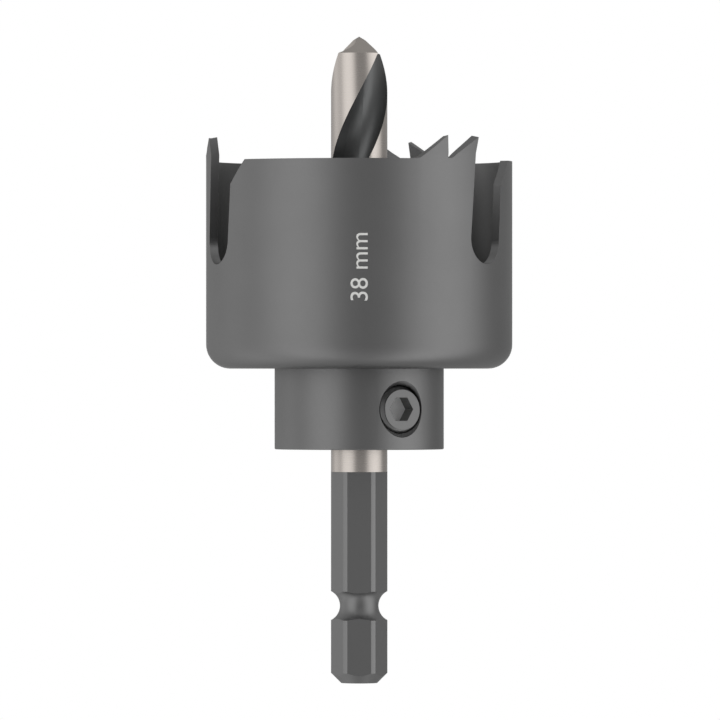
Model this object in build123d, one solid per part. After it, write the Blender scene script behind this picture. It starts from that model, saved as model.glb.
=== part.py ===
from build123d import *
import math
import os

# A 38 mm hole saw with its pilot drill. A drawn and toothed steel cup is riveted to a turned
# hub, and the hub clamps a twist drill with a hex shank by one set screw.
# Millimetres and degrees. The middle of the shank's end is the origin and the drill points
# along +Z. Angles round the axis are counted from -Y and grow the way the saw turns.

# The cup
cup_diameter = 38.0
wall_thickness = 1.1
floor_thickness = 1.2
cup_height = 25.7
cup_edge_radius = 3.0

# The chip slots, each with the angle of its middle at the foot
slot_angles = (55.7, 179.4, 292.4)
slot_width = 6.2
slot_depth = 12.85
slot_lean = 4.7
slot_corner_height = 3.0
slot_corner_width = 2.6

# The teeth, two behind each slot: the front one is set outwards and the rear one inwards.
# Their pitch runs along the middle of the wall, and their backs run from tip to toe. The
# front one's back is twisted: it is longer outside than inside.
tooth_height = 2.87
tooth_pitch = 4.43
front_back_length = 4.12
rear_back_length = 4.25
front_twist = 0.4
tooth_set = 0.33
set_start = 0.7
front_bevel = 0.2
rear_bevel = 0.14
gullet_radius = 1.0
gullet_rise = 0.05

# The hub
hub_diameter = 21.0
hub_height = 10.0
spigot_diameter = 13.0
rivet_diameter = 15.0
rivet_height = 0.8
rivet_edge = 0.3
bore_clearance = 0.02
hub_edge = 0.1

# The set screw and its hole, at the hub's half height
screw_angle = 30.4
screw_diameter = 6.0
screw_length = 8.0
screw_end_chamfer = 0.5
screw_point_diameter = 4.0
screw_socket = 3.0
screw_socket_depth = 2.2
thread_clearance = 0.0
sink_diameter = 7.0
screw_seat_depth = 1.05
screw_seat_margin = 0.5

# The pilot drill and its shank
drill_diameter = 7.0
drill_reach = 12.63
point_angle = 118.0
flute_lead = 41.8
flute_spread = 91.0
flute_length = 27.0
runout_length = 8.0
lip_angle = 41.5
lip_straight = 1.5
web_thickness = 1.2
web_angle = 65.0
heel_overrun = 20.0
neck_length = 2.8
hex_length = 26.2
hex_across_flats = 6.35
hex_end_chamfer = 1.26
groove_height = 9.6
groove_radius = 2.0
groove_diameter = 4.78

# How far cutting shapes run past what they cut, how much room the blank leaves for the set,
# how far the teeth's shapes reach past the wall, and how far ahead of its face a tooth's set
# starts
overrun = 1.0
set_room = 1.5
tooth_room = 0.9
sector_lead = 0.7

# Sections of the lofted flutes
sections_per_turn = 24
runout_steps = 5

# Places that follow from the sizes
hub_bottom = hex_length + neck_length
cup_bottom = hub_bottom + hub_height
rim = cup_bottom + cup_height
tooth_tip = rim + tooth_height
drill_tip = tooth_tip + drill_reach
cup_radius = cup_diameter / 2
cup_inner_radius = cup_radius - wall_thickness
wall_middle = cup_radius - wall_thickness / 2
cup_floor = cup_bottom + floor_thickness
bend_start = rim + set_start
blank_top = tooth_tip + overrun
pitch_angle = math.degrees(tooth_pitch / wall_middle)
lead_angle = math.degrees(sector_lead / wall_middle)
lean = math.tan(math.radians(slot_lean))
slot_foot = rim - slot_depth + slot_width / 2
slot_side = slot_width / 2 / math.cos(math.radians(slot_lean))
drill_radius = drill_diameter / 2
point_height = drill_radius / math.tan(math.radians(point_angle / 2))
flute_top = drill_tip - point_height
screw_height = hub_bottom + hub_height / 2
screw_seat = drill_radius - screw_seat_depth
screw_face = screw_seat + screw_length

upright = (Align.CENTER, Align.CENTER, Align.MIN)


# An upright round bar between two heights
def bar(radius, bottom, top):
    return Pos(0, 0, bottom) * Cylinder(radius, top - bottom, align=upright)


# A bar along the radius at angle 0, from one radius to another, at the screw's height
def side_bar(radius, start, end, end_radius=None):
    plane = Plane.XZ.offset(start)
    end_radius = radius if end_radius is None else end_radius
    if end_radius == radius:
        body = Cylinder(radius, end - start, align=upright)
    else:
        body = Cone(radius, end_radius, end - start, align=upright)
    return plane * Pos(0, screw_height, 0) * body


# The cup before its slots and teeth are cut: wall, rounded edge, floor, the spigot's hole,
# and a thick ring on the wall, out of which the set teeth are cut
def cup_blank():
    outside = bar(cup_radius, cup_bottom, bend_start)
    outside = fillet(outside.edges().group_by(Axis.Z)[0], cup_edge_radius)
    outside += bar(cup_radius + set_room, bend_start, blank_top)
    inside = bar(cup_inner_radius, cup_floor, bend_start)
    inside = fillet(inside.edges().group_by(Axis.Z)[0], cup_edge_radius - wall_thickness)
    inside += bar(cup_inner_radius - set_room, bend_start, blank_top)
    hole = bar(spigot_diameter / 2, cup_bottom - overrun, cup_floor + overrun)
    return outside - inside - hole


# A slot, seen from outside: round foot, leaning sides, and the cut corner ahead of it.
# It runs on above the rim, where its rear side becomes the first tooth's face.
def slot_cut():
    length = (blank_top + overrun - slot_foot) / math.cos(math.radians(slot_lean))
    outline = Circle(slot_width / 2) + Pos(0, length / 2) * Rectangle(slot_width, length)
    outline = Pos(0, slot_foot) * Rot(0, 0, -slot_lean) * outline
    corner_foot = rim - slot_corner_height
    corner_slope = slot_corner_width / slot_corner_height
    corner = Polyline(
        (slot_side + (corner_foot - slot_foot) * lean, corner_foot),
        (slot_side + (rim - slot_foot) * lean + slot_corner_width + overrun * corner_slope, rim + overrun),
        (0, rim + overrun),
        (0, corner_foot),
        close=True,
    )
    return extrude(Plane.XZ * (outline + make_face(corner)), cup_radius + set_room + overrun)


# A tooth seen from outside, its face at x = 0 on the rim. The first tooth of a group is
# left long at the front, because the slot's side cuts its face.
def tooth_outline(top, floor, length, extra):
    front = (top - rim) * lean
    toe = front - length
    end = toe - gullet_radius
    tip = (front + extra, top + extra * (top - floor) / length)
    back_line = FilletPolyline(tip, (toe, floor), (end, floor), radius=gullet_radius)
    foot_line = Polyline((end, floor), (end, rim - overrun), (extra, rim - overrun))
    face_line = Polyline((extra, rim - overrun), (extra, rim), tip)
    return make_face(back_line + foot_line + face_line)


# A tooth's outline carried outwards through the wall at angle 0. Over the wall its tip rises
# by rise, its back grows by twist, and it moves sideways by drift.
def tooth_bar(floor, length, extra, rise, twist=0, drift=0):
    sections = []
    for side in (-1, 1):
        away = side * (wall_thickness + tooth_room)
        share = away / wall_thickness
        outline = tooth_outline(tooth_tip + rise * share, floor, length + twist * share, extra)
        sections.append(Plane.XZ.offset(wall_middle + away) * Pos(drift * share, 0) * outline)
    return loft(sections, ruled=True)


# What the set takes off the thick ring on one side of the wall, over a sector that starts
# at angle 0: outside the wall where side is 1, and inside it where side is -1
def set_cut(bend, side, sector):
    edge = wall_middle + side * wall_thickness / 2
    top = blank_top + overrun
    shift = bend * (top - bend_start) / (tooth_tip - bend_start)
    far = edge + side * (set_room + overrun)
    section = Polyline(
        (edge, bend_start),
        (edge + shift, top),
        (far, top),
        (far, bend_start),
        close=True,
    )
    return Rot(0, 0, -90) * revolve(Plane.XZ * make_face(section), Axis.Z, sector)


# The finished cup. The front tooth's face is where the slot's side meets the rim, and its
# back is cut along that side.
def saw_cup():
    face_turn = math.asin(((rim - slot_foot) * lean - slot_side) / cup_radius)
    face_angle = math.degrees(face_turn)
    drift = -wall_thickness * math.tan(face_turn)
    floor = rim + gullet_rise
    first = tooth_bar(floor, front_back_length, overrun, -front_bevel, front_twist, drift)
    second = tooth_bar(rim, rear_back_length, 0, rear_bevel)
    waste = bar(cup_radius + set_room + overrun, rim, blank_top + overrun)
    cuts = []
    for angle in slot_angles:
        face = angle + face_angle
        waste -= Rot(0, 0, face) * first
        waste -= Rot(0, 0, face - pitch_angle) * second
        for side in (1, -1):
            front_cut = set_cut(tooth_set, side, pitch_angle)
            rear_cut = set_cut(-tooth_set, side, pitch_angle)
            cuts.append(Rot(0, 0, face - pitch_angle + lead_angle) * front_cut)
            cuts.append(Rot(0, 0, face - 2 * pitch_angle + lead_angle) * rear_cut)
        cuts.append(Rot(0, 0, angle) * slot_cut())
    return cup_blank() - waste - cuts


# The collar, its spigot through the cup's floor, and the head riveted over inside
def hub():
    collar = bar(hub_diameter / 2, hub_bottom, cup_bottom)
    collar = chamfer(collar.edges().group_by(Axis.Z)[0], hub_edge)
    spigot = bar(spigot_diameter / 2, cup_bottom - overrun, cup_floor + rivet_height)
    rivet = bar(rivet_diameter / 2, cup_floor, cup_floor + rivet_height)
    rivet = chamfer(rivet.edges().group_by(Axis.Z)[-1], rivet_edge)
    body = collar + spigot + rivet
    body -= bar(drill_radius + bore_clearance, hub_bottom - overrun, drill_tip)
    hole_radius = screw_diameter / 2 + thread_clearance
    hole = side_bar(hole_radius, 0, hub_diameter / 2 + overrun)
    sink_depth = (sink_diameter - screw_diameter) / 2
    sink = side_bar(
        hole_radius,
        hub_diameter / 2 - sink_depth,
        hub_diameter / 2 + overrun,
        sink_diameter / 2 + overrun,
    )
    return body - Rot(0, 0, screw_angle) * (hole + sink)


# A socket set screw with a flat point, lying along the radius
def set_screw():
    body = side_bar(screw_diameter / 2, screw_seat, screw_face)
    ends = body.edges().filter_by(GeomType.CIRCLE).sort_by(Axis.Y)
    body = chamfer(ends[0], screw_end_chamfer)
    point_end = body.edges().filter_by(GeomType.CIRCLE).sort_by(Axis.Y)[-1]
    body = chamfer(point_end, (screw_diameter - screw_point_diameter) / 2)
    socket = RegularPolygon(screw_socket / 2, 6, major_radius=False)
    socket_plane = Plane.XZ.offset(screw_face - screw_socket_depth) * Pos(0, screw_height)
    body -= extrude(socket_plane * socket, screw_socket_depth + overrun)
    return Rot(0, 0, screw_angle) * body


# A point in the flute's flat section, by radius and angle ahead of the lip
def ahead_of_lip(radius, angle):
    turn = math.radians(angle)
    return (radius * math.cos(turn), radius * math.sin(turn))


# The flute's section across the axis: a straight stretch that makes the cutting lip, an arc
# down to the web, and an arc out past the heel. It is closed outside the drill.
def flute_section():
    outer = drill_radius + overrun
    lip = (drill_radius - lip_straight, 0)
    web = ahead_of_lip(web_thickness / 2, web_angle)
    heel = ahead_of_lip(drill_radius, flute_spread)
    lip_line = Line((outer, 0), lip)
    lip_arc = TangentArc(lip, web, tangent=(-1, 0))
    to_heel = TangentArc(web, heel, tangent=lip_arc % 1)
    turn = math.degrees(to_heel.length / to_heel.radius)
    heel_arc = JernArc(web, lip_arc % 1, to_heel.radius, -turn - heel_overrun)
    heel_end = heel_arc @ 1
    heel_line = Line(heel_end, heel_end * (outer / heel_end.length))
    outer_arc = ThreePointArc(heel_line @ 1, ahead_of_lip(outer, flute_spread / 2), (outer, 0))
    return make_face(lip_line + lip_arc + heel_arc + heel_line + outer_arc)


# The same section at a height, turned with the flute, and drawn outwards by lift
def flute_at(height, lift=0.0):
    turn = lip_angle - 90 + (height - flute_top) * 360 / flute_lead
    outward = ahead_of_lip(lift, flute_spread / 2)
    return Pos(0, 0, height) * Rot(0, 0, turn) * Pos(*outward) * flute_section()


# One flute, lofted through turned sections. Below its full depth they move outwards on a
# curve, where the grinding wheel leaves the drill.
def flute_cut():
    top = drill_tip + overrun
    bottom = drill_tip - flute_length
    turns = (top - bottom) / flute_lead
    steps = math.ceil(turns * sections_per_turn)
    sections = []
    for step in range(steps + 1):
        sections.append(flute_at(top + (bottom - top) * step / steps))
    for step in range(1, runout_steps + 1):
        share = step / runout_steps
        lift = (drill_radius + overrun) * share**2
        sections.append(flute_at(bottom - runout_length * share, lift))
    return loft(sections)


# The hex shank: flats milled on the round rod, an end chamfer, and the ball groove
def shank():
    rod = bar(drill_radius, 0, hex_length)
    rod = chamfer(rod.edges().group_by(Axis.Z)[0], hex_end_chamfer)
    flats = RegularPolygon(hex_across_flats / 2, 6, major_radius=False)
    rod &= extrude(flats, hex_length)
    ring_radius = groove_diameter / 2 + groove_radius
    return rod - Pos(0, 0, groove_height) * Torus(ring_radius, groove_radius)


# The whole drill, from its point to the end of its shank
def pilot_drill():
    rod = bar(drill_radius, hex_length, flute_top)
    point = Pos(0, 0, flute_top) * Cone(drill_radius, 0, point_height, align=upright)
    body = rod + point
    flute = flute_cut()
    for turn in (0, 180):
        body -= Rot(0, 0, turn) * flute
    seat_align = (Align.CENTER, Align.MAX, Align.CENTER)
    seat = Box(drill_diameter, drill_radius, screw_diameter + 2 * screw_seat_margin, align=seat_align)
    body -= Rot(0, 0, screw_angle) * Pos(0, -screw_seat, screw_height) * seat
    return body + shank()


def main():
    os.makedirs("parts", exist_ok=True)
    pieces = {
        "saw_cup": saw_cup(),
        "hub": hub(),
        "pilot_drill": pilot_drill(),
        "set_screw": set_screw(),
    }
    for name, piece in pieces.items():
        export_step(piece, f"parts/{name}.step")
        print(name, "volume", round(piece.volume, 2))


main()
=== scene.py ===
import math
import bmesh
import bpy
from mathutils import Matrix, Vector


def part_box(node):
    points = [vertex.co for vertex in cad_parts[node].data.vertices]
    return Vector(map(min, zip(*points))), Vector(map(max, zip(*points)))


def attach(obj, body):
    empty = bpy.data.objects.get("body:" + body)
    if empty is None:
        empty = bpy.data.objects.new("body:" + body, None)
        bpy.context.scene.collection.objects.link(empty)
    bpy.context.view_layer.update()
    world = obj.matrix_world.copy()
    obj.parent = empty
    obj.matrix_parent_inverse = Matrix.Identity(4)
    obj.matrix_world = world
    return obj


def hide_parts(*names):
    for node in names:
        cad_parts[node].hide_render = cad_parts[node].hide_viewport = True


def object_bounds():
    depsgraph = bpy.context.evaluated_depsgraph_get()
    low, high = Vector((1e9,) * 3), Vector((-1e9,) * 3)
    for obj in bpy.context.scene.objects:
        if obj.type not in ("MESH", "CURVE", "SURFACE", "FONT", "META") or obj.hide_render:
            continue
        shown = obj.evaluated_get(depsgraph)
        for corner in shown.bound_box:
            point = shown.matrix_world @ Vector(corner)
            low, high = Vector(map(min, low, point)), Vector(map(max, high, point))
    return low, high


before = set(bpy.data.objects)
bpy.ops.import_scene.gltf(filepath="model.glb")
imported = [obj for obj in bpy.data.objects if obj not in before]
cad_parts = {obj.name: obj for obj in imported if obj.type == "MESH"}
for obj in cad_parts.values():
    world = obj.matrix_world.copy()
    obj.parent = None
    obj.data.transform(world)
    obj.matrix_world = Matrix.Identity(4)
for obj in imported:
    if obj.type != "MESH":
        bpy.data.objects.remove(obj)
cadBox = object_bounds()
print("Frame loaded:", sorted(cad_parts))

# A hole saw of black and bright steel on white. What a user would change is in the dictionary
# above each function.
mm = 0.001
bevelSamples = 4
noiseLow = 0.3  # Blender's noise lies mostly between these two values
noiseHigh = 0.7


# Turns a colour as written in a paint program into the linear values that Blender wants
def linear(hexColour):
    values = []
    for start in (1, 3, 5):
        part = int(hexColour[start:start + 2], 16) / 255
        values.append(part / 12.92 if part <= 0.04045 else ((part + 0.055) / 1.055) ** 2.4)
    return (*values, 1.0)


# Adds one node, with its settings and with its inputs given as values or as links
def addNode(tree, kind, settings=None, inputs=None):
    node = tree.nodes.new(kind)
    for name, value in (settings or {}).items():
        setattr(node, name, value)
    for name, value in (inputs or {}).items():
        if isinstance(value, bpy.types.NodeSocket):
            tree.links.new(value, node.inputs[name])
        else:
            node.inputs[name].default_value = value
    return node


# Adds one step of arithmetic and gives its result
def addMath(tree, operation, *inputs):
    return addNode(tree, "ShaderNodeMath", {"operation": operation}, dict(enumerate(inputs))).outputs[0]


def addVectorMath(tree, operation, inputs):
    return addNode(tree, "ShaderNodeVectorMath", {"operation": operation}, inputs).outputs


# Maps a value from one range to another and holds it at both ends
def addRange(tree, value, start, end, low=0.0, high=1.0, kind="LINEAR"):
    inputs = {"Value": value, "From Min": start, "From Max": end, "To Min": low, "To Max": high}
    return addNode(tree, "ShaderNodeMapRange", {"interpolation_type": kind}, inputs).outputs["Result"]


def addNoise(tree, place, scale, detail, roughness):
    inputs = {"Vector": place, "Scale": scale, "Detail": detail, "Roughness": roughness}
    return addNode(tree, "ShaderNodeTexNoise", None, inputs).outputs["Fac"]


# The Mix node takes two colours at its inputs 6 and 7 and gives the mixed one at output 2
def mixColours(tree, share, first, second):
    inputs = {0: share, 6: first, 7: second}
    return addNode(tree, "ShaderNodeMix", {"data_type": "RGBA"}, inputs).outputs[2]


def newMaterial(name):
    material = bpy.data.materials.new(name)
    material.use_nodes = True
    material.node_tree.nodes.clear()
    return material, material.node_tree


# Puts a new object into the scene
def addObject(name, data):
    made = bpy.data.objects.new(name, data)
    bpy.context.scene.collection.objects.link(made)
    return made


# Coordinates in millimetres on the object, so that a pattern's scale is a real size
def millimetres(tree):
    place = addNode(tree, "ShaderNodeTexCoord").outputs["Object"]
    return addVectorMath(tree, "SCALE", {0: place, "Scale": 1 / mm})[0]


# The normal that a surface would have with its edges rounded by a radius in millimetres
def roundedNormal(tree, radius):
    settings = {"samples": bevelSamples}
    return addNode(tree, "ShaderNodeBevel", settings, {"Radius": radius * mm}).outputs["Normal"]


# A height above the surface in millimetres becomes a bump
def bumpFrom(tree, height, distance, normal=None):
    inputs = {"Height": height, "Distance": distance * mm}
    if normal is not None:
        inputs["Normal"] = normal
    return addNode(tree, "ShaderNodeBump", None, inputs).outputs["Normal"]


# The gloss varies a little with the grain
def grainedRoughness(tree, grain, settings):
    low = settings["roughness"] - settings["roughnessSpread"]
    high = settings["roughness"] + settings["roughnessSpread"]
    return addRange(tree, grain, noiseLow, noiseHigh, low, high)


def finishMaterial(tree, colour, metallic, roughness, normal):
    shader = addNode(tree, "ShaderNodeBsdfPrincipled", None, {
        "Base Color": colour, "Metallic": metallic, "Roughness": roughness, "Normal": normal})
    addNode(tree, "ShaderNodeOutputMaterial", None, {"Surface": shader.outputs["BSDF"]})


# Phosphated and electrocoated steel: a thin, even, satin film that the metal shines through
coating = {
    "colour": "#7a7a7a",
    "paleColour": "#7d7d7d",
    "edgeColour": "#888888",
    "metallic": 0.88,
    "roughness": 0.39,
    "roughnessSpread": 0.03,
    "grainSize": 0.22,
    "grainHeight": 0.004,
    "cloudSize": 7.0,
    "edgeRadius": 0.07,
    "edgeStart": 0.98,  # cosine between the rounded normal and the true one, where an edge starts
    "edgeFull": 0.80,
}


def makeCoating(name, settings):
    material, tree = newMaterial(name)
    place = millimetres(tree)
    clouds = addNoise(tree, place, 1 / settings["cloudSize"], detail=2.0, roughness=0.5)
    tone = addRange(tree, clouds, noiseLow, noiseHigh)
    colour = mixColours(tree, tone, linear(settings["colour"]), linear(settings["paleColour"]))
    # The film is thinnest over a sharp edge, where a rounded normal leaves the true one
    rounded = roundedNormal(tree, settings["edgeRadius"])
    flat = addNode(tree, "ShaderNodeNewGeometry").outputs["Normal"]
    facing = addVectorMath(tree, "DOT_PRODUCT", {0: rounded, 1: flat})["Value"]
    edge = addRange(tree, facing, settings["edgeStart"], settings["edgeFull"])
    edged = mixColours(tree, edge, colour, linear(settings["edgeColour"]))
    grain = addNoise(tree, place, 1 / settings["grainSize"], detail=2.0, roughness=0.6)
    normal = bumpFrom(tree, grain, settings["grainHeight"], rounded)
    finishMaterial(tree, edged, settings["metallic"], grainedRoughness(tree, grain, settings), normal)
    return material


# Ground bright steel: fine grinding lines run round the drill, so a highlight is a soft column
groundSteel = {
    "colour": "#c5beb8",
    "metallic": 1.0,
    "roughness": 0.26,
    "roughnessSpread": 0.02,
    "lineSpacing": 0.12,
    "lineLength": 20.0,
    "lineHeight": 0.0012,
}


def makeGroundSteel(name, settings):
    material, tree = newMaterial(name)
    around = 1 / settings["lineLength"]
    stretched = addNode(tree, "ShaderNodeMapping", None, {
        "Vector": millimetres(tree), "Scale": (around, around, 1 / settings["lineSpacing"])})
    lines = addNoise(tree, stretched.outputs["Vector"], scale=1.0, detail=3.0, roughness=0.7)
    roughness = grainedRoughness(tree, lines, settings)
    normal = bumpFrom(tree, lines, settings["lineHeight"])
    finishMaterial(tree, linear(settings["colour"]), settings["metallic"], roughness, normal)
    return material


# Steam-oxidised steel: dark in the flutes, with a low gloss
steamOxide = {
    "colour": "#717272",
    "metallic": 0.85,
    "roughness": 0.46,
    "grainSize": 0.3,
    "grainHeight": 0.003,
    "edgeRadius": 0.05,
}

# Black-oxidised steel on the milled shank
shankOxide = {
    "colour": "#7f7f7f",
    "metallic": 0.85,
    "roughness": 0.38,
    "grainSize": 0.18,
    "grainHeight": 0.004,
    "edgeRadius": 0.05,
}

# The screw's oxide is thicker, from a bath after hardening
screwOxide = {
    "colour": "#787878",
    "metallic": 0.85,
    "roughness": 0.38,
    "grainSize": 0.12,
    "grainHeight": 0.003,
    "edgeRadius": 0.05,
}

# The point's faces, left by a fine grinding wheel
pointGrind = {
    "colour": "#b7b1ab",
    "metallic": 1.0,
    "roughness": 0.5,
    "grainSize": 0.12,
    "grainHeight": 0.01,
    "edgeRadius": 0.05,
}


# An even finish with a fine grain, as the oxides, the ground point and the ink have
def makeGrained(name, settings):
    material, tree = newMaterial(name)
    scale = 1 / settings["grainSize"]
    grain = addNoise(tree, millimetres(tree), scale, detail=3.0, roughness=0.6)
    normal = bumpFrom(tree, grain, settings["grainHeight"], roundedNormal(tree, settings["edgeRadius"]))
    finishMaterial(tree, linear(settings["colour"]), settings["metallic"], settings["roughness"], normal)
    return material


coatedSteel = makeCoating("electrocoated_steel", coating)
brightSteel = makeGroundSteel("ground_bright_steel", groundSteel)
fluteSteel = makeGrained("steam_oxidised_steel", steamOxide)
shankSteel = makeGrained("black_oxidised_steel", shankOxide)
screwSteel = makeGrained("black_oxidised_screw_steel", screwOxide)
pointSteel = makeGrained("ground_point_steel", pointGrind)
print("Materials made")


# Cuts every face that a plane crosses
def cutAcross(work, place, direction, distance):
    geometry = work.verts[:] + work.edges[:] + work.faces[:]
    bmesh.ops.bisect_plane(work, geom=geometry, plane_co=place, plane_no=direction, dist=distance)


# Where each finish of the drill starts and ends, in millimetres, and how near points count as one
drill = {
    "shankTop": 26.2,
    "radius": 3.5,
    "skin": 0.03,
    "pointHeight": 2.103,
    "mergeDistance": 0.0001,
    "cutDistance": 0.001,
}


# A merged copy of a CAD node that keeps the normals of its corners, cut level at some heights
def copyOfNode(name, copyName, heights, settings):
    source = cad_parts[name].data
    mesh = source.copy()
    mesh.name = copyName
    kept = mesh.attributes.new("keptNormal", "FLOAT_VECTOR", "CORNER")
    for corner, normal in zip(kept.data, source.corner_normals):
        corner.vector = normal.vector
    work = bmesh.new()
    work.from_mesh(mesh)
    bmesh.ops.remove_doubles(work, verts=work.verts, dist=settings["mergeDistance"] * mm)
    for height in heights:
        cutAcross(work, (0, 0, height), (0, 0, 1), settings["cutDistance"] * mm)
    work.to_mesh(mesh)
    work.free()
    normals = [tuple(corner.vector) for corner in mesh.attributes["keptNormal"].data]
    mesh.normals_split_custom_set(normals)
    mesh.attributes.remove(mesh.attributes["keptNormal"])
    return addObject(copyName, mesh)


def dressDrill(settings):
    shankTop = settings["shankTop"] * mm
    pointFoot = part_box("pilot_drill")[1].z - settings["pointHeight"] * mm
    skinRadius = (settings["radius"] - settings["skin"]) * mm
    piece = copyOfNode("pilot_drill", "pilot_drill_ground", (shankTop, pointFoot), settings)
    finishes = [shankSteel, brightSteel, fluteSteel, pointSteel]
    piece.data.materials.clear()
    for material in finishes:
        piece.data.materials.append(material)
    for face in piece.data.polygons:
        corners = [piece.data.vertices[i].co for i in face.vertices]
        if face.center.z < shankTop:
            finish = shankSteel
        elif face.center.z > pointFoot:
            finish = pointSteel
        elif min(math.hypot(corner.x, corner.y) for corner in corners) > skinRadius:
            finish = brightSteel
        else:
            finish = fluteSteel
        face.material_index = finishes.index(finish)
    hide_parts("pilot_drill")
    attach(piece, "root")


for name in ("saw_cup", "hub"):
    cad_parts[name].material_slots[0].material = coatedSteel
dressDrill(drill)
print("Cup, hub and drill dressed")


# The M6 set screw, in millimetres from its point. Places are distances from the saw's axis, and
# flats are shares of the pitch.
setScrew = {
    "pitch": 1.0,
    "rootFlat": 0.25,
    "crestFlat": 0.125,
    "rootRadius": 2.42,
    "crestRadius": 2.9,
    "faceRadius": 2.515,
    "faceTaper": 0.6,
    "pointRadius": 2.0,
    "socketAcross": 2.85,
    "socketDepth": 1.9,
    "socketMouth": 0.02,
    "socketCone": 0.6,
    "socketRight": -0.09,
    "socketUp": 0.09,
    "sag": 0.08,
    "pointPlace": 2.45,
    "facePlace": 10.45,
    "angle": 30.4,
    "turnSteps": 48,
    "startStep": 31,
    "rowsPerPitch": 16,
    "mergeDistance": 0.0005,
    "sharpAngle": 25,
}


# A tree that winds a grid into a thread. Its rows run along the helix, so the crest is a clean
# line. The point ends in a 45 degree chamfer, and the face in one with its own taper.
def threadTree(sizes, material):
    tree = bpy.data.node_groups.new("screwThread", "GeometryNodeTree")
    tree.is_modifier = True
    for side in ("INPUT", "OUTPUT"):
        tree.interface.new_socket("Geometry", in_out=side, socket_type="NodeSocketGeometry")
    for name, value in sizes.items():
        kind = "NodeSocketInt" if isinstance(value, int) else "NodeSocketFloat"
        tree.interface.new_socket(name, in_out="INPUT", socket_type=kind)
    given = addNode(tree, "NodeGroupInput").outputs
    grid = addNode(tree, "GeometryNodeMeshGrid", None, {
        "Size X": 1.0, "Size Y": 1.0, "Vertices X": given["turnPoints"], "Vertices Y": given["rowPoints"]})
    position = addNode(tree, "GeometryNodeInputPosition").outputs[0]
    spot = addNode(tree, "ShaderNodeSeparateXYZ", None, {0: position}).outputs
    turn = addMath(tree, "ADD", spot["X"], 0.5)  # the grid's middle is at its origin
    share = addMath(tree, "ADD", spot["Y"], 0.5)
    along = addMath(tree, "MULTIPLY", share, given["turns"])
    start = addMath(tree, "SUBTRACT", turn, 1.0)
    travel = addMath(tree, "ADD", along, start)
    climb = addMath(tree, "MULTIPLY", travel, given["pitch"])
    height = addNode(tree, "ShaderNodeClamp", None, {
        "Value": climb, "Min": 0.0, "Max": given["length"]}).outputs[0]
    # The profile rises from a flat at its root to a narrower one on its crest
    climbed = addMath(tree, "DIVIDE", height, given["pitch"])
    phase = addMath(tree, "SUBTRACT", climbed, start)
    ridge = addMath(tree, "PINGPONG", phase, 0.5)
    thread = addRange(tree, ridge, given["rootEnd"], given["crestStart"],
                      given["rootRadius"], given["crestRadius"])
    pointSlope = addMath(tree, "ADD", height, given["pointRadius"])
    left = addMath(tree, "SUBTRACT", given["length"], height)
    faceSlope = addMath(tree, "MULTIPLY_ADD", left, given["faceTaper"], given["faceRadius"])
    ends = addMath(tree, "MINIMUM", pointSlope, faceSlope)
    radius = addMath(tree, "MINIMUM", thread, ends)
    turned = addMath(tree, "ADD", turn, given["startTurn"])
    angle = addMath(tree, "MULTIPLY", turned, math.tau)
    across = addMath(tree, "COSINE", angle)
    upward = addMath(tree, "SINE", angle)
    circle = addNode(tree, "ShaderNodeCombineXYZ", None, {"X": across, "Y": upward}).outputs[0]
    ring = addVectorMath(tree, "SCALE", {0: circle, "Scale": radius})[0]
    lift = addNode(tree, "ShaderNodeCombineXYZ", None, {"Z": height}).outputs[0]
    place = addVectorMath(tree, "ADD", {0: ring, 1: lift})[0]
    wound = addNode(tree, "GeometryNodeSetPosition", None, {
        "Geometry": grid.outputs["Mesh"], "Position": place})
    closed = addNode(tree, "GeometryNodeMergeByDistance", None, {
        "Geometry": wound.outputs[0], "Distance": given["mergeDistance"]})
    real = addNode(tree, "GeometryNodeRealizeInstances", None, {"Geometry": closed.outputs[0]})
    dressed = addNode(tree, "GeometryNodeSetMaterial", None, {
        "Geometry": real.outputs[0], "Material": material})
    addNode(tree, "NodeGroupOutput", None, {"Geometry": dressed.outputs[0]})
    return tree


# Runs a tree on an empty piece and gives the result as a plain mesh
def meshFromTree(name, tree, sizes):
    piece = addObject(name, bpy.data.meshes.new(name))
    modifier = piece.modifiers.new(name, "NODES")
    modifier.node_group = tree
    for item in tree.interface.items_tree:
        if item.in_out == "INPUT" and item.name in sizes:
            modifier[item.identifier] = sizes[item.name]
    shown = piece.evaluated_get(bpy.context.evaluated_depsgraph_get())
    mesh = bpy.data.meshes.new_from_object(shown)
    piece.modifiers.remove(modifier)
    piece.data = mesh
    return piece


# How far a hexagon with flats at its top and bottom reaches from its middle
def hexReach(across, angle):
    return across / 2 / math.cos(angle % math.radians(60) - math.radians(30))


# Draws a rim of edges in to a hexagon and gives the new rim
def nextRing(work, rim, across, height):
    made = bmesh.ops.extrude_edge_only(work, edges=rim)["geom"]
    for vertex in made:
        if isinstance(vertex, bmesh.types.BMVert):
            angle = math.atan2(vertex.co.y, vertex.co.x)
            outward = Vector((math.cos(angle), math.sin(angle), 0))
            vertex.co = outward * hexReach(across, angle) + Vector((0, 0, height))
    return [edge for edge in made if isinstance(edge, bmesh.types.BMEdge)]


# Closes a rim with a fan round one point on the screw's axis
def closeRim(work, rim, height):
    middle = work.verts.new((0, 0, height))
    for edge in rim:
        work.faces.new((edge.verts[0], edge.verts[1], middle))


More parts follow.
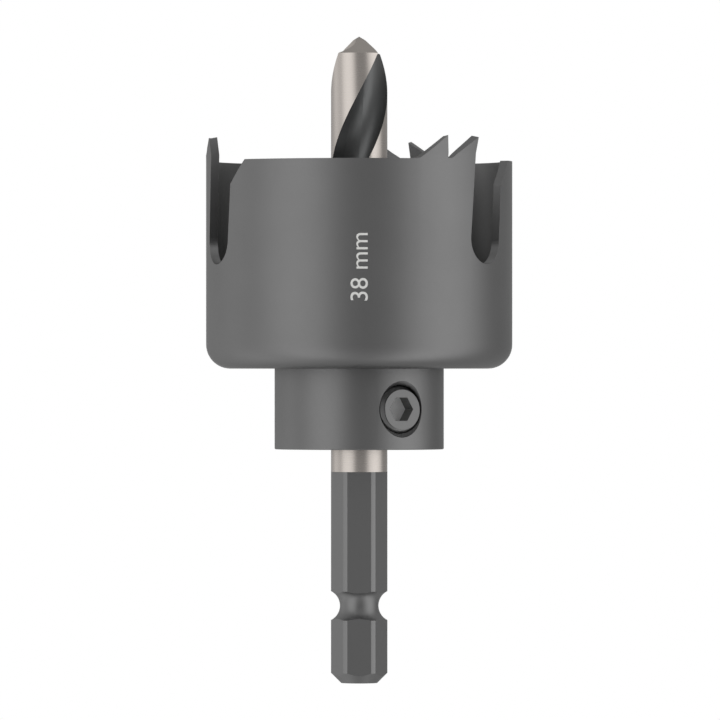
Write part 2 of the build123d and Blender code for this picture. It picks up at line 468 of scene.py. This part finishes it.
# Closes the point, and the face with a hexagon socket and the cone of its drill
def closeEnds(mesh, settings, length):
    work = bmesh.new()
    work.from_mesh(mesh)
    rims = [edge for edge in work.edges if edge.is_boundary]
    pointRim = [edge for edge in rims if edge.verts[0].co.z < length / 2]
    faceRim = [edge for edge in rims if edge.verts[0].co.z > length / 2]
    closeRim(work, pointRim, 0.0)
    outside = set(work.verts)
    across = settings["socketAcross"]
    mouth = settings["socketMouth"]
    bottom = length - settings["socketDepth"]
    rim = nextRing(work, faceRim, across + 2 * mouth, length)
    rim = nextRing(work, rim, across, length - mouth)
    rim = nextRing(work, rim, across, bottom)
    closeRim(work, rim, bottom - settings["socketCone"])
    # The socket was punched a little off the screw's middle
    for vertex in set(work.verts) - outside:
        vertex.co += Vector((settings["socketRight"], settings["socketUp"], 0))
    bmesh.ops.recalc_face_normals(work, faces=work.faces)
    work.to_mesh(mesh)
    work.free()


# Lays the screw's own axis along the hub's tapped hole, at the angle from the front
def placeInHub(settings):
    angle = math.radians(settings["angle"])
    outward = Vector((math.sin(angle), -math.cos(angle), 0))
    side = Vector((math.cos(angle), math.sin(angle), 0))
    low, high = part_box("set_screw")
    foot = outward * settings["pointPlace"] * mm
    foot.z = (low.z + high.z) / 2 - settings["sag"] * mm
    place = Matrix.Identity(4)
    place.col[0] = (*side * mm, 0)
    place.col[1] = (0, 0, mm, 0)
    place.col[2] = (*outward * mm, 0)
    place.col[3] = (*foot, 1)
    return place


def makeSetScrew(settings, material):
    length = settings["facePlace"] - settings["pointPlace"]
    # One turn more than the length holds, because the rows start below the point
    turns = length / settings["pitch"] + 1
    shared = ("pitch", "rootRadius", "crestRadius", "faceRadius", "faceTaper", "pointRadius", "mergeDistance")
    sizes = {key: settings[key] for key in shared}
    sizes["rootEnd"] = settings["rootFlat"] / 2
    sizes["crestStart"] = (1 - settings["crestFlat"]) / 2
    sizes["startTurn"] = settings["startStep"] / settings["turnSteps"]
    sizes["length"] = length
    sizes["turns"] = turns
    sizes["turnPoints"] = settings["turnSteps"] + 1
    sizes["rowPoints"] = round(turns * settings["rowsPerPitch"]) + 1
    piece = meshFromTree("set_screw_threaded", threadTree(sizes, material), sizes)
    closeEnds(piece.data, settings, length)
    piece.data.transform(placeInHub(settings))
    for face in piece.data.polygons:
        face.use_smooth = True
    piece.data.set_sharp_from_angle(angle=math.radians(settings["sharpAngle"]))
    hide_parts("set_screw")
    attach(piece, "root")


makeSetScrew(setScrew, screwSteel)
print("Set screw threaded")


# The size mark, printed pale on the wall and read upwards, in millimetres
sizeMark = {
    "words": "38 mm",
    "capHeight": 2.14,
    "start": 47.3,
    "wallRadius": 19.0,
    "film": 0.012,
    "strip": 0.2,
    "curveSteps": 6,
    "textDepth": 0.5,  # only tells the letters' fronts from their backs
    "mergeDistance": 0.00001,
    "colour": "#efefec",
    "roughness": 0.5,
    "grainSize": 0.15,
    "grainHeight": 0.002,
    "edgeRadius": 0.05,
    "metallic": 0.0,
}


def makeSizeMark(settings, material):
    text = bpy.data.curves.new("size_mark", "FONT")
    text.body = settings["words"]
    text.resolution_u = settings["curveSteps"]
    text.extrude = settings["textDepth"]
    holder = addObject("size_mark_text", text)
    mesh = bpy.data.meshes.new_from_object(holder.evaluated_get(bpy.context.evaluated_depsgraph_get()))
    bpy.data.objects.remove(holder)
    work = bmesh.new()
    work.from_mesh(mesh)
    bmesh.ops.remove_doubles(work, verts=work.verts, dist=settings["mergeDistance"])
    left = min(vertex.co.x for vertex in work.verts)
    bottom = min(vertex.co.y for vertex in work.verts)
    scale = settings["capHeight"] / (max(vertex.co.y for vertex in work.verts) - bottom)
    for vertex in work.verts:
        outward = settings["film"] if vertex.co.z > 0 else 0.0
        vertex.co = ((vertex.co.x - left) * scale, (vertex.co.y - bottom) * scale, outward)
    # Strips across the letters let the flat mark bend round the wall
    for step in range(1, math.ceil(settings["capHeight"] / settings["strip"])):
        cutAcross(work, (0, step * settings["strip"], 0), (0, 1, 0), settings["mergeDistance"])
    for vertex in work.verts:
        radius = settings["wallRadius"] + vertex.co.z
        angle = (settings["capHeight"] / 2 - vertex.co.y) / settings["wallRadius"]
        height = settings["start"] + vertex.co.x
        vertex.co = (radius * math.sin(angle) * mm, -radius * math.cos(angle) * mm, height * mm)
    bmesh.ops.recalc_face_normals(work, faces=work.faces)
    work.to_mesh(mesh)
    work.free()
    mesh.name = "size_mark"
    mesh.materials.append(material)
    piece = addObject("size_mark", mesh)
    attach(piece, "root")


makeSizeMark(sizeMark, makeGrained("pale_marking_ink", sizeMark))
print("Size mark printed")


# Floor, world, lamps and camera, all in metres. Azimuths are in degrees from the camera's side
# round to the right, seen from above. A direction in the world is one unit long.
studio = {
    "floorHeight": -0.012,
    "floorRadius": 0.14,
    "floorSides": 96,
    "floorColour": "#f2f2f2",
    "floorGlowNear": 0.5,
    "floorGlowFar": 1.0,
    "floorGlowStart": 0.05,
    "floorGlowEnd": 0.125,
    "backdropEdge": 0.97,  # how far a level direction goes straight away from the camera
    "backdropFull": 0.995,
    "fill": 0.337,
    "topLight": 0.496,
    "topStart": 0.2,  # how far a direction rises, here and for the table
    "topFull": 0.9,
    "tableLight": 0.472,
    "tableStart": -0.1,
    "tableFull": -0.8,
    "mirrored": 8.0,
    "glows": [
        {"azimuth": -46, "outer": 36, "stretch": 1.8, "strength": 0.852},
        {"azimuth": 68, "outer": 46, "stretch": 1.8, "strength": 0.886},
        {"azimuth": -125, "outer": 38, "stretch": 1.5, "strength": 0.224},
        {"azimuth": -95, "outer": 38, "stretch": 1.5, "strength": 0.358},
    ],
    "lamps": {
        "left_softbox": {"azimuth": -48, "power": 0.05},
        "right_softbox": {"azimuth": 68, "power": 0.124},
    },
    "lampDistance": 1.2,
    "lampRise": 0.1,
    "lampWidth": 0.5,
    "lampHeight": 0.9,
    "cameraDistance": 1.058,
    "cameraHeight": 0.03951,
    "cameraRight": 0.0001,
    "sensorWidth": 36,
    "frameMiddle": 0.04007,
    "frameWidth": 0.08935,
}


# 1 where a reflection or a ray through glass looks at the backdrop straight behind the object
def reflectedBackdrop(tree, settings, path, direction):
    unit = addVectorMath(tree, "NORMALIZE", {0: direction})[0]
    parts = addNode(tree, "ShaderNodeSeparateXYZ", None, {0: unit}).outputs
    behind = addRange(tree, parts["Y"], settings["backdropEdge"], settings["backdropFull"], kind="SMOOTHSTEP")
    reflected = addMath(tree, "MAXIMUM", path["Is Glossy Ray"], path["Is Transmission Ray"])
    return addMath(tree, "MULTIPLY", reflected, behind)


def makeFloor(settings):
    mesh = bpy.data.meshes.new("floor")
    work = bmesh.new()
    sides = settings["floorSides"]
    bmesh.ops.create_circle(work, cap_ends=True, segments=sides, radius=settings["floorRadius"])
    work.to_mesh(mesh)
    work.free()
    floor = addObject("floor", mesh)
    floor.location.z = settings["floorHeight"]
    material, tree = newMaterial("pale_floor")
    path = addNode(tree, "ShaderNodeLightPath").outputs
    place = addNode(tree, "ShaderNodeTexCoord").outputs["Object"]
    seen = addMath(tree, "MAXIMUM", path["Is Camera Ray"], path["Is Transmission Ray"])
    away = addVectorMath(tree, "LENGTH", {0: place})["Value"]
    spread = addRange(tree, away, settings["floorGlowStart"], settings["floorGlowEnd"],
                      settings["floorGlowNear"], settings["floorGlowFar"], kind="SMOOTHSTEP")
    diffuse = addNode(tree, "ShaderNodeBsdfDiffuse", None, {"Color": linear(settings["floorColour"])})
    light = addNode(tree, "ShaderNodeEmission", None, {"Strength": addMath(tree, "MULTIPLY", seen, spread)})
    both = addNode(tree, "ShaderNodeAddShader", None, {0: diffuse.outputs[0], 1: light.outputs[0]})
    # It is clear from below, so that the underside can be looked at, and clear to reflections,
    # which see the softboxes mirrored in the table they stand on
    below = addNode(tree, "ShaderNodeNewGeometry").outputs["Backfacing"]
    unseen = addMath(tree, "MAXIMUM", below, path["Is Glossy Ray"])
    clear = addNode(tree, "ShaderNodeBsdfTransparent")
    surface = addNode(tree, "ShaderNodeMixShader", None, {
        0: unseen, 1: both.outputs[0], 2: clear.outputs[0]})
    addNode(tree, "ShaderNodeOutputMaterial", None, {"Surface": surface.outputs[0]})
    mesh.materials.append(material)


# How bright one softbox is in a direction. It reaches further down than up, by its mirror image
# in the table, and fades out from its middle.
def addGlow(tree, parts, glow, mirrored):
    azimuth = math.radians(glow["azimuth"])
    upper = addMath(tree, "DIVIDE", parts["Z"], glow["stretch"])
    lower = addMath(tree, "DIVIDE", parts["Z"], mirrored)
    tall = addMath(tree, "MAXIMUM", upper, lower)
    squeezed = addNode(tree, "ShaderNodeCombineXYZ", None, {
        "X": parts["X"], "Y": parts["Y"], "Z": tall}).outputs[0]
    unit = addVectorMath(tree, "NORMALIZE", {0: squeezed})[0]
    middle = (math.sin(azimuth), -math.cos(azimuth), 0)
    near = addVectorMath(tree, "DOT_PRODUCT", {0: unit, 1: middle})["Value"]
    outer = math.cos(math.radians(glow["outer"]))
    return addRange(tree, near, outer, 1.0, high=glow["strength"], kind="SMOOTHSTEP")


# The world is white to the camera and, straight behind the object, in reflections. Elsewhere
# it is a dim fill, stronger from the ceiling and the table, with a tall glow for each softbox.
def makeWorld(settings):
    world = bpy.data.worlds.new("studio_world")
    world.use_nodes = True
    tree = world.node_tree
    tree.nodes.clear()
    path = addNode(tree, "ShaderNodeLightPath").outputs
    direction = addNode(tree, "ShaderNodeTexCoord").outputs["Generated"]
    parts = addNode(tree, "ShaderNodeSeparateXYZ", None, {0: direction}).outputs
    table = addRange(tree, parts["Z"], settings["tableStart"], settings["tableFull"],
                     settings["fill"], settings["tableLight"], kind="SMOOTHSTEP")
    light = addRange(tree, parts["Z"], settings["topStart"], settings["topFull"],
                     table, settings["topLight"], kind="SMOOTHSTEP")
    for glow in settings["glows"]:
        light = addMath(tree, "ADD", light, addGlow(tree, parts, glow, settings["mirrored"]))
    backdrop = reflectedBackdrop(tree, settings, path, direction)
    white = addMath(tree, "MAXIMUM", path["Is Camera Ray"], backdrop)
    strength = addNode(tree, "ShaderNodeMix", {"data_type": "FLOAT"}, {0: white, 2: light, 3: 1.0})
    shade = addNode(tree, "ShaderNodeBackground", None, {
        "Color": (1, 1, 1, 1), "Strength": strength.outputs[0]})
    addNode(tree, "ShaderNodeOutputWorld", None, {"Surface": shade.outputs[0]})
    bpy.context.scene.world = world


def makeLamp(name, lamp, settings, target):
    data = bpy.data.lights.new(name, "AREA")
    data.shape = "RECTANGLE"
    data.size = settings["lampWidth"]
    data.size_y = settings["lampHeight"]
    data.energy = lamp["power"]
    azimuth = math.radians(lamp["azimuth"])
    away = Vector((math.sin(azimuth), -math.cos(azimuth), 0)) * settings["lampDistance"]
    away.z = settings["lampRise"]
    made = addObject(name, data)
    made.location = target + away
    made.rotation_euler = away.to_track_quat("Z", "Y").to_euler()


def makeCamera(settings):
    data = bpy.data.cameras.new("photo_view")
    data.sensor_width = settings["sensorWidth"]
    data.lens = data.sensor_width * settings["cameraDistance"] / settings["frameWidth"]
    data.shift_y = (settings["frameMiddle"] - settings["cameraHeight"]) / settings["frameWidth"]
    camera = addObject("photo_view", data)
    camera.location = (settings["cameraRight"], -settings["cameraDistance"], settings["cameraHeight"])
    camera.rotation_euler = (math.radians(90), 0, 0)
    bpy.context.scene.camera = camera


makeFloor(studio)
makeWorld(studio)
sawMiddle = Vector((0, 0, (cadBox[0][2] + cadBox[1][2]) / 2))
for name, lamp in studio["lamps"].items():
    makeLamp(name, lamp, studio, sawMiddle)
makeCamera(studio)
bpy.context.scene.view_settings.view_transform = "Standard"
print("Studio ready")
